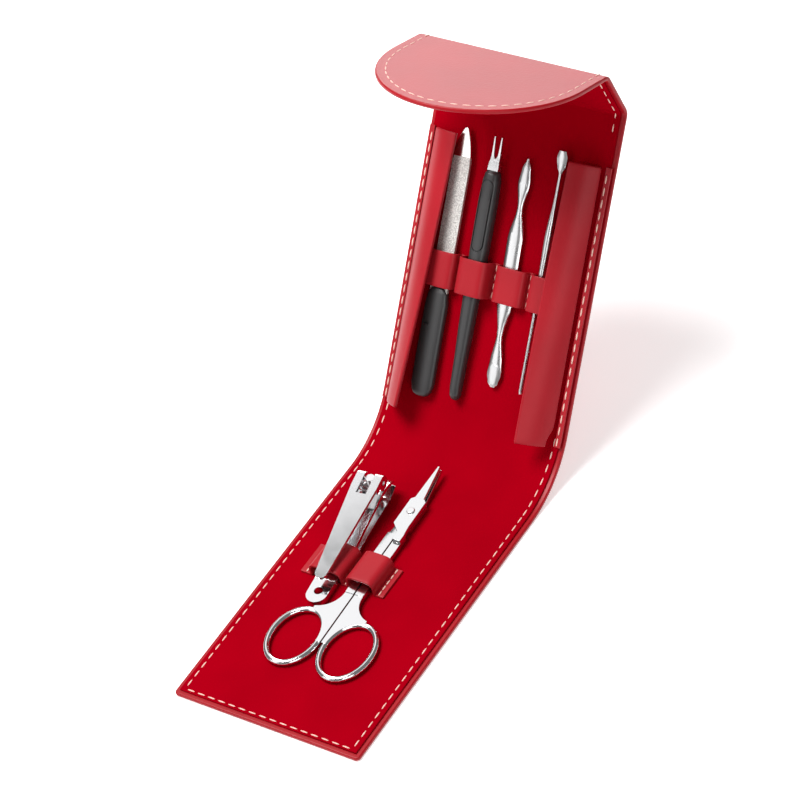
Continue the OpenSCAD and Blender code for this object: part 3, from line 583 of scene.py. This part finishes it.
def spine_pieces():
    """Leather between two bodies: name, start, end, both bodies, and where the bend starts and ends."""
    m = marks()
    f = m["folds"]
    names = ["front_panel", "spine_strip_1", "spine_strip_2", "spine_strip_3", "back_panel"]
    cuts = [f[0] - FRONT_LAP, (f[0] + f[1]) / 2, (f[1] + f[2]) / 2, (f[2] + f[3]) / 2, f[4] - BACK_LAP]
    reach = 2.8
    clear = 0.3
    pieces = []
    for k in range(4):
        pieces.append((f"Bottom fold {k + 1}", cuts[k], cuts[k + 1], names[k], names[k + 1],
                       max(cuts[k] + clear, f[k] - reach), min(cuts[k + 1] - clear, f[k] + reach)))
    middle = (m["top_start"] + m["top_end"]) / 2
    ease = 0.8
    pieces.append(("Top fold", m["back_end"] - TOP_LAP, middle, "back_panel", "top_spine",
                   m["back_end"] - ease, m["top_start"] + ease))
    pieces.append(("Flap fold", middle, m["flap_start"] + TOP_LAP, "top_spine", "flap",
                   m["top_end"] - ease, m["flap_start"] + ease))
    return pieces


class MANICURE_OT_panels(bpy.types.Operator):
    """Front panel, back panel and flap, each with its outer leather and lining"""
    bl_idname = "manicure.panels"
    bl_label = "Panels"

    def execute(self, context):
        m = marks()
        f = m["folds"]
        radius = sizes().width / MM / 2
        front = layers("Front panel", 0.0, f[0] - FRONT_LAP, round_start=True, corner=FRONT_CORNER)
        back = layers("Back panel", f[4] - BACK_LAP, m["back_end"] - TOP_LAP)
        flap = layers("Flap", m["flap_start"] + TOP_LAP, flap_round_start() + radius,
                      round_end=True, corner=radius - 0.01)
        for pair, body, nodes in ((front, "front_panel", ("front_cover", "front_lining")),
                                  (back, "back_panel", ("back_cover", "back_lining")),
                                  (flap, "flap", ("flap_cover", "flap_lining"))):
            for obj, node in zip(pair, nodes):
                add_weighted_normals(obj)
                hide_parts(node)
                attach(obj, body)
        for node in ("front_board", "back_board", "flap_board"):
            frame["nodes"][node].data.materials.clear()
            frame["nodes"][node].data.materials.append(material("Board"))
        return {"FINISHED"}


class MANICURE_OT_spines(bpy.types.Operator):
    """Soft spines and folds between the panels"""
    bl_idname = "manicure.spines"
    bl_label = "Spines"

    def execute(self, context):
        replaced = {"Bottom fold 1": ("spine_strip_1",), "Bottom fold 2": ("spine_strip_2",),
                    "Bottom fold 3": ("spine_strip_3",), "Top fold": ("top_spine",)}
        for name, s0, s1, a, b, start, end in spine_pieces():
            outer, inner = layers(name, s0, s1, cut=0.5)
            if name in replaced:
                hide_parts(*replaced[name])
            for obj in (outer, inner):
                add_weighted_normals(obj)
                lay(0, start, 0)
                lay(0, end, 0)
                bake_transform(obj)
        return {"FINISHED"}


class MANICURE_OT_stitching(bpy.types.Operator):
    """Seams along every edge of the case"""
    bl_idname = "manicure.stitching"
    bl_label = "Stitching"

    def execute(self, context):
        m = marks()
        width = sizes().width / MM
        x = width / 2 - stitching().side_inset / MM
        front_end = stitching().end_inset / MM
        corner = 2.0
        f = m["folds"]
        cut = corner * 0.3
        panel_end = f[0] - FRONT_LAP
        flap_start = m["flap_start"] + TOP_LAP
        front_seam = [(-x, panel_end), (-x, front_end + corner), (-x + cut, front_end + cut),
                      (-x + corner, front_end), (x - corner, front_end), (x - cut, front_end + cut),
                      (x, front_end + corner), (x, panel_end)]
        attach(stitch_mesh("Front stitches", seam_places(front_seam)), "front_panel")
        arc = [(x * cos(radians(a)), flap_round_start() + x * sin(radians(a))) for a in range(0, 181, 5)]
        flap_seam = [(x, flap_start)] + arc + [(-x, flap_start)]
        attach(stitch_mesh("Flap stitches", seam_places(flap_seam) + seam_places(flap_seam, True)), "flap")
        places = []
        for side in (-1, 1):
            places += seam_places([(side * x, f[4] - BACK_LAP), (side * x, m["back_end"] - TOP_LAP)], True)
        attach(stitch_mesh("Back stitches", places), "back_panel")
        for name, s0, s1, a, b, start, end in spine_pieces():
            lines = [[(-x, s0), (-x, s1)], [(x, s0), (x, s1)]]
            places = [place for line in lines for place in seam_places(line)]
            if name != "Bottom fold 1":
                places += [place for line in lines for place in seam_places(line, True)]
            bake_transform(stitch_mesh(name + " stitches", places), a, b, lay(0, start, 0), lay(0, end, 0))
        return {"FINISHED"}


def on_back(x, y, z):
    """A point over the back panel's lining, in millimetres: y up from the bottom spine, z off the lining."""
    return lay(x, marks()["back_start"] + y, sizes().thickness / MM / 2 + z)


def on_front(x, y, z):
    """A point over the front panel's lining, y from the front edge, in millimetres."""
    return lay(x, y, sizes().thickness / MM / 2 + z)


def guard_point(side, u, y):
    """A point on the middle of a guard: u from its fold to its free edge, y up the back panel."""
    share = (y - GUARD_LOW) / (GUARD_TOP - GUARD_LOW)
    lift = radians(GUARD_LIFTS[0] + (GUARD_LIFTS[1] - GUARD_LIFTS[0]) * share)
    reach = GUARD_REACHES[0] + (GUARD_REACHES[1] - GUARD_REACHES[0]) * share
    crown = GUARD_CROWN * sin(pi * u)
    x = GUARD_AXIS - u * reach * cos(lift) + crown * sin(lift)
    z = GUARD_RISE + u * reach * sin(lift) + crown * cos(lift)
    back = marks()["back_start"]
    base = lay(side * x, back + max(y, 0.0), sizes().thickness / MM / 2 + z)
    if y < 0:
        base += (lay(0, back + 1, 0) - lay(0, back, 0)).normalized() * y * MM
    return base


class MANICURE_OT_guards(bpy.types.Operator):
    """The two raised side guards on the back panel, with their sewn edges"""
    bl_idname = "manicure.guards"
    bl_label = "Side Guards"

    def execute(self, context):
        for side, word in ((-1, "left"), (1, "right")):
            bm = bmesh.new()
            bmesh.ops.create_grid(bm, x_segments=14, y_segments=48, size=0.5)
            for vert in bm.verts:
                u, v = vert.co.x + 0.5, vert.co.y + 0.5
                y = GUARD_LOW + GUARD_TRIM_LOW + (GUARD_TOP - GUARD_LOW - GUARD_TRIM) * v
                # The inner edge stands back at the low end, where the spine starts to curve
                low = min(1.0, max(0.0, (2.5 - y) / 5))
                start = 0.03 + 0.15 * low * low * (3 - 2 * low)
                vert.co = guard_point(side, start + (1 - start) * u, y)
            leaf = finish_mesh(f"Guard {word}", bm, "Strap Leather")
            thick = leaf.modifiers.new("Thickness", "SOLIDIFY")
            thick.thickness = GUARD_THICKNESS * MM
            thick.offset = 0.0
            soften = leaf.modifiers.new("Rounded Rim", "BEVEL")
            soften.width = 0.00045
            soften.segments = 3
            soften.limit_method = "ANGLE"
            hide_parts(f"{word}_guard")
            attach(leaf, f"{word}_guard")
            frame["nodes"][f"{word}_guard_hem"].data.materials.clear()
            frame["nodes"][f"{word}_guard_hem"].data.materials.append(material("Strap Leather"))
            pitch = stitching().pitch / MM
            along = (on_back(0, 1, 0) - on_back(0, 0, 0)).normalized()
            normal = (on_back(0, 0, 1) - on_back(0, 0, 0)).normalized()
            places = []
            for k in range(int((HEM_SEAM_TOP - HEM_SEAM_LOW) / pitch) + 1):
                y = HEM_SEAM_LOW + k * pitch
                places.append((on_back(side * HEM_SEAM, y, HEM_HEIGHT), along, normal))
            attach(stitch_mesh(f"Guard stitches {word}", places), "back_panel")
        return {"FINISHED"}


def arch_points(x0, x1, height, grow):
    """Profile of a strap's arch over a tool, a rounded box grown outwards to the middle of the strap."""
    steps = 24
    power = 2 / STRAP_BOXY
    points = []
    for k in range(steps + 1):
        angle = pi - pi * k / steps
        u, v = cos(angle), sin(angle)
        px = (x0 + x1) / 2 + ((x1 - x0) / 2 + grow) * (abs(u) ** power) * (1 if u >= 0 else -1)
        points.append((px, (height + grow) * abs(v) ** power))
    return points


def strap_mesh(name, put, x0, x1, arches, y0, length):
    """A strap with arches, as a sheet laid along its profile."""
    middle = STRAP_THICKNESS / 2
    path = [(x0, middle)]
    for left, right, height in arches:
        for px, pz in arch_points(left, right, height, middle):
            path.append((px, max(pz, middle)))
    path.append((x1, middle))
    lengths = [0.0]
    for a, b in zip(path, path[1:]):
        lengths.append(lengths[-1] + (Vector(b) - Vector(a)).length)

    def along(t):
        want = t * lengths[-1]
        for k in range(len(path) - 1):
            if want <= lengths[k + 1]:
                break
        share = (want - lengths[k]) / max(lengths[k + 1] - lengths[k], 1e-9)
        return tuple(p + (q - p) * share for p, q in zip(path[k], path[k + 1]))

    bm = bmesh.new()
    bmesh.ops.create_grid(bm, x_segments=150, y_segments=8, size=0.5)
    for vert in bm.verts:
        x, z = along(vert.co.x + 0.5)
        vert.co = put(x, y0 + length * (vert.co.y + 0.5), z)
    strap = finish_mesh(name, bm, "Strap Leather")
    thick = strap.modifiers.new("Thickness", "SOLIDIFY")
    thick.thickness = STRAP_THICKNESS * MM
    thick.offset = 0.0
    soften = strap.modifiers.new("Rounded Rim", "BEVEL")
    soften.width = 0.00028
    soften.segments = 2
    soften.limit_method = "ANGLE"
    return strap


def strap_rows(put, rows, y0, length):
    """Rows of short stitches across a strap, between its arches."""
    places = []
    pitch = stitching().pitch / MM * ROW_PITCH
    for x in rows:
        count = int(length // pitch)
        for k in range(count):
            y = y0 + length * (k + 0.5) / count
            middle = put(x, y, STRAP_THICKNESS + 0.1)
            along = (put(x, y + 1, 0) - put(x, y, 0)).normalized()
            normal = (put(x, y, 1) - put(x, y, 0)).normalized()
            places.append((middle, along, normal))
    return places


class MANICURE_OT_straps(bpy.types.Operator):
    """The stitched straps that hold the tools"""
    bl_idname = "manicure.straps"
    bl_label = "Tool Loops"

    def execute(self, context):
        stitch = stitching()
        full = stitch.length
        strap = strap_mesh("Back strap", on_back, -BACK_STRAP_HALF, BACK_STRAP_HALF, BACK_ARCHES,
                           BACK_STRAP_LOW, BACK_STRAP_DEPTH)
        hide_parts("tool_strap")
        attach(strap, "back_panel")
        stitch.length = full * ROW_LENGTH
        rows = stitch_mesh("Back strap stitches",
                           strap_rows(on_back, BACK_ROWS, BACK_STRAP_LOW, BACK_STRAP_DEPTH))
        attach(rows, "back_panel")
        left, middle, right = FRONT_STRAP_ENDS
        clip = strap_mesh("Clipper loop", on_front, left, middle, [CLIPPER_ARCH],
                          FRONT_STRAP_LOW, FRONT_STRAP_DEPTH)
        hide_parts("loop_strap")
        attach(clip, "front_panel")
        snip = strap_mesh("Scissors loop", on_front, middle, right, [SCISSORS_ARCH],
                          FRONT_STRAP_LOW, FRONT_STRAP_DEPTH)
        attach(snip, "front_panel")
        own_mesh(snip)
        rows = stitch_mesh("Front strap stitches",
                           strap_rows(on_front, FRONT_ROWS, FRONT_STRAP_LOW, FRONT_STRAP_DEPTH))
        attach(rows, "front_panel")
        stitch.length = full
        return {"FINISHED"}


# The tools

def dressed(node, material_name, crease=38.0, rim=0.0):
    """A smooth-shaded piece on a CAD node's own form. A rim rounds its edges by that many millimetres."""
    source = frame["nodes"][node]
    bm = bmesh.new()
    bm.from_mesh(source.data)
    bmesh.ops.remove_doubles(bm, verts=bm.verts, dist=2e-6)
    bmesh.ops.dissolve_limit(bm, angle_limit=radians(0.6), verts=bm.verts, edges=bm.edges)
    for edge in bm.edges:
        edge.smooth = edge.calc_face_angle(0.0) < radians(crease)
    mesh = bpy.data.meshes.new(node + "_finish")
    bm.to_mesh(mesh)
    bm.free()
    for polygon in mesh.polygons:
        polygon.use_smooth = True
    obj = bpy.data.objects.new(node + "_finish", mesh)
    bpy.context.scene.collection.objects.link(obj)
    mesh.materials.append(material(material_name))
    if rim:
        soften = obj.modifiers.new("Eased Edges", "BEVEL")
        soften.width = rim * MM
        soften.segments = 2
        soften.limit_method = "ANGLE"
        soften.angle_limit = radians(crease)
        soften.use_clamp_overlap = True
        add_weighted_normals(obj)
    body = next(name for name, nodes in frame["record"]["behaviour"]["bodies"].items() if node in nodes)
    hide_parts(node)
    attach(obj, body)


class MANICURE_OT_file(bpy.types.Operator):
    """Nail file: steel blade in a dark handle"""
    bl_idname = "manicure.file"
    bl_label = "Nail File"

    def execute(self, context):
        dressed("file_blade", "File Steel", rim=0.15)
        dressed("file_handle", "Handle Plastic", crease=50)
        return {"FINISHED"}


class MANICURE_OT_trimmer(bpy.types.Operator):
    """Cuticle trimmer: steel fork in a dark handle"""
    bl_idname = "manicure.trimmer"
    bl_label = "Cuticle Trimmer"

    def execute(self, context):
        dressed("trimmer_fork", "Satin Steel", rim=0.08)
        dressed("trimmer_handle", "Handle Plastic", crease=50)
        return {"FINISHED"}


class MANICURE_OT_picks(bpy.types.Operator):
    """Cuticle pusher and ear pick"""
    bl_idname = "manicure.picks"
    bl_label = "Pusher and Ear Pick"

    def execute(self, context):
        dressed("cuticle_pusher", "Satin Steel", crease=48)
        dressed("ear_pick", "Satin Steel", crease=60)
        return {"FINISHED"}


class MANICURE_OT_clipper(bpy.types.Operator):
    """Nail clipper: two jaws, post, cross pin and lever"""
    bl_idname = "manicure.clipper"
    bl_label = "Nail Clipper"

    def execute(self, context):
        for node in ("clipper_lower_jaw", "clipper_upper_jaw", "clipper_lever"):
            dressed(node, "Polished Steel", rim=0.12)
        dressed("clipper_post", "Satin Steel", rim=0.08)
        dressed("clipper_pin", "Satin Steel", rim=0.08)
        return {"FINISHED"}


class MANICURE_OT_scissors(bpy.types.Operator):
    """Cuticle scissors: two halves on a screw"""
    bl_idname = "manicure.scissors"
    bl_label = "Scissors"

    def execute(self, context):
        dressed("scissors_left_half", "Polished Steel", crease=42, rim=0.14)
        dressed("scissors_right_half", "Polished Steel", crease=42, rim=0.14)
        dressed("scissors_screw", "Satin Steel", rim=0.08)
        return {"FINISHED"}


# The stage

def area_light(name, place, target, size, power):
    """A square soft light that faces its target."""
    data = bpy.data.lights.new(name, "AREA")
    data.shape = "SQUARE"
    data.size = size
    data.energy = power
    obj = bpy.data.objects.new(name, data)
    obj.location = place
    obj.rotation_euler = (Vector(target) - Vector(place)).to_track_quat("-Z", "Y").to_euler()
    bpy.context.scene.collection.objects.link(obj)


class MANICURE_OT_stage(bpy.types.Operator):
    """Pale floor, soft lights and the camera"""
    bl_idname = "manicure.stage"
    bl_label = "Stage"

    def execute(self, context):
        bm = bmesh.new()
        bmesh.ops.create_grid(bm, x_segments=1, y_segments=1, size=FLOOR_SIZE)
        mesh = bpy.data.meshes.new("Floor")
        bm.to_mesh(mesh)
        bm.free()
        floor = bpy.data.objects.new("Floor", mesh)
        bpy.context.scene.collection.objects.link(floor)
        floor_material, _, _, shader = surface("Floor", colours().floor, 0.8, specular=0.1)
        shader.inputs["Emission Color"].default_value = (1, 1, 1, 1)
        shader.inputs["Emission Strength"].default_value = FLOOR_GLOW
        mesh.materials.append(floor_material)
        world = bpy.data.worlds.new("Studio")
        context.scene.world = world
        world.use_nodes = True
        world.node_tree.nodes["Background"].inputs["Color"].default_value = (1, 1, 1, 1)
        world.node_tree.nodes["Background"].inputs["Strength"].default_value = WORLD_LIGHT
        for light in LIGHTS:
            area_light(*light)
        context.scene.view_settings.view_transform = "Standard"

        turn, height, roll = radians(CAMERA_TURN), radians(CAMERA_HEIGHT), radians(CAMERA_ROLL)
        back = Vector((sin(turn) * cos(height), -cos(turn) * cos(height), sin(height)))
        target = Vector(CAMERA_TARGET) * MM
        right = (-back).cross(Vector((0, 0, 1))).normalized()
        up = right.cross(-back)
        local_x = right * cos(roll) + up * sin(roll)
        local_y = -right * sin(roll) + up * cos(roll)
        data = bpy.data.cameras.new("Camera")
        data.sensor_width = SENSOR_WIDTH
        data.lens = FOCAL_LENGTH_PIXELS / PICTURE_PIXELS * SENSOR_WIDTH
        camera = bpy.data.objects.new("Camera", data)
        facing = Matrix((local_x, local_y, back)).transposed().to_4x4()
        camera.matrix_world = Matrix.Translation(target + back * CAMERA_DISTANCE * MM) @ facing
        bpy.context.scene.collection.objects.link(camera)
        bpy.context.scene.camera = camera
        return {"FINISHED"}


class MANICURE_PT_panel(bpy.types.Panel):
    bl_idname = "MANICURE_PT_panel"
    bl_label = "Manicure Case"
    bl_space_type = "VIEW_3D"
    bl_region_type = "UI"
    bl_category = "Manicure Case"

    def draw(self, context):
        scene = context.scene
        for group in (scene.manicure_sizes, scene.manicure_stitches, scene.manicure_colours):
            for name in group.__annotations__:
                self.layout.prop(group, name)
        for operator in OPERATORS:
            self.layout.operator(operator.bl_idname)


OPERATORS = (MANICURE_OT_panels, MANICURE_OT_spines, MANICURE_OT_stitching, MANICURE_OT_guards,
             MANICURE_OT_straps, MANICURE_OT_file, MANICURE_OT_trimmer, MANICURE_OT_picks,
             MANICURE_OT_clipper, MANICURE_OT_scissors, MANICURE_OT_stage)
CLASSES = (CaseSizes, StitchSizes, CaseColours, *OPERATORS, MANICURE_PT_panel)


def register():
    for cls in CLASSES:
        bpy.utils.register_class(cls)
    bpy.types.Scene.manicure_sizes = bpy.props.PointerProperty(type=CaseSizes)
    bpy.types.Scene.manicure_stitches = bpy.props.PointerProperty(type=StitchSizes)
    bpy.types.Scene.manicure_colours = bpy.props.PointerProperty(type=CaseColours)


def unregister():
    del bpy.types.Scene.manicure_colours
    del bpy.types.Scene.manicure_stitches
    del bpy.types.Scene.manicure_sizes
    for cls in reversed(CLASSES):
        bpy.utils.unregister_class(cls)


def main():
    register()
    bpy.ops.manicure.panels()
    bpy.ops.manicure.spines()
    bpy.ops.manicure.stitching()
    bpy.ops.manicure.guards()
    bpy.ops.manicure.straps()
    bpy.ops.manicure.file()
    bpy.ops.manicure.trimmer()
    bpy.ops.manicure.picks()
    bpy.ops.manicure.clipper()
    bpy.ops.manicure.scissors()
    bpy.ops.manicure.stage()


if __name__ == "__main__":
    main()
